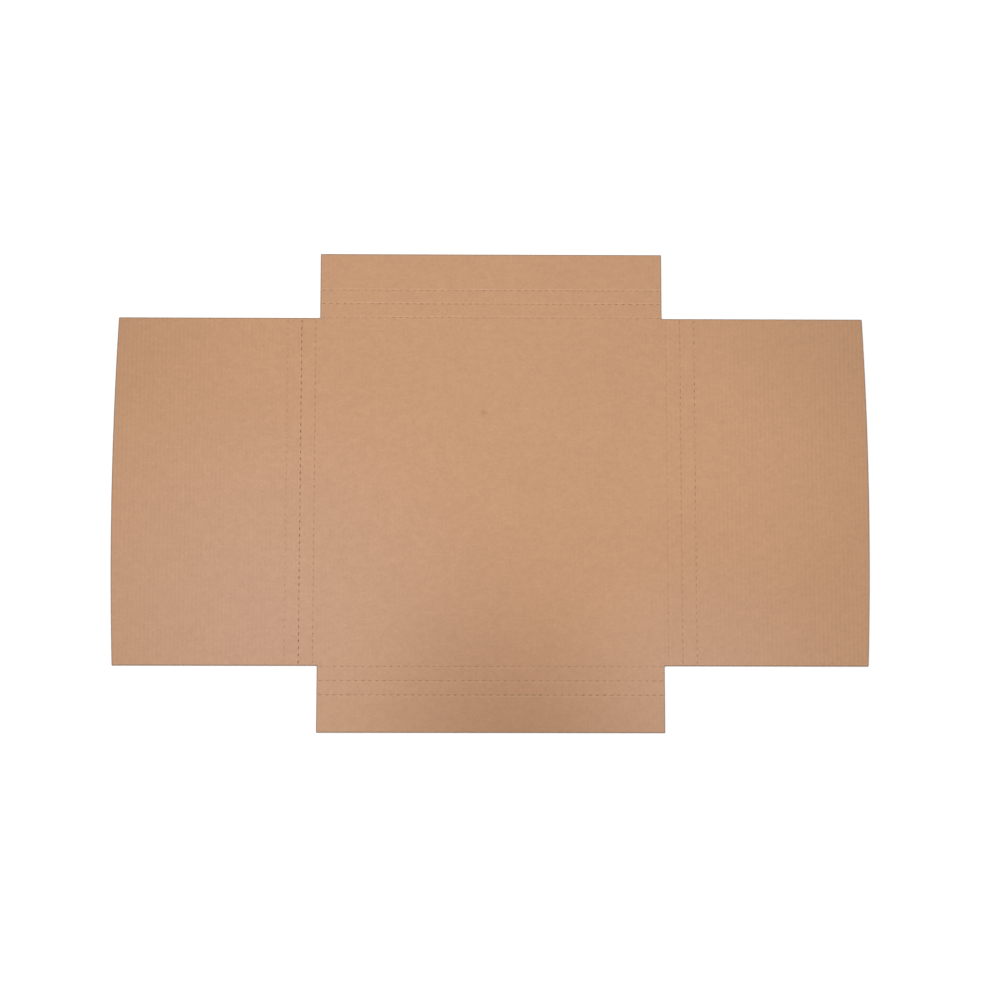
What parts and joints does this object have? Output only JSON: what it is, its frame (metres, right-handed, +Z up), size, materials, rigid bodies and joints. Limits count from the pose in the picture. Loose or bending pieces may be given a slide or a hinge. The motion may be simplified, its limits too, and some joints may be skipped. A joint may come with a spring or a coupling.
{
  "type": "flattened cardboard box",
  "caption": "Flat cross-shaped blank of brown corrugated board: square base, long side wings, short end flaps and rows of perforated parallel creases for several fold depths.",
  "frame": {"origin": "on the floor under the middle of the square base, which is also the middle of the whole cross", "axes": "+X towards the end of the right wing, +Y towards the outer edge of the far flap and along the board's flutes, +Z up through the sheet, out of the creased face"},
  "size_m": [0.6836, 0.437, 0.0022],
  "materials": {
    "kraft_board": "matte"
  },
  "bodies": {
    "root": {"box_blank": "kraft_board"}
  },
  "joints": []
}
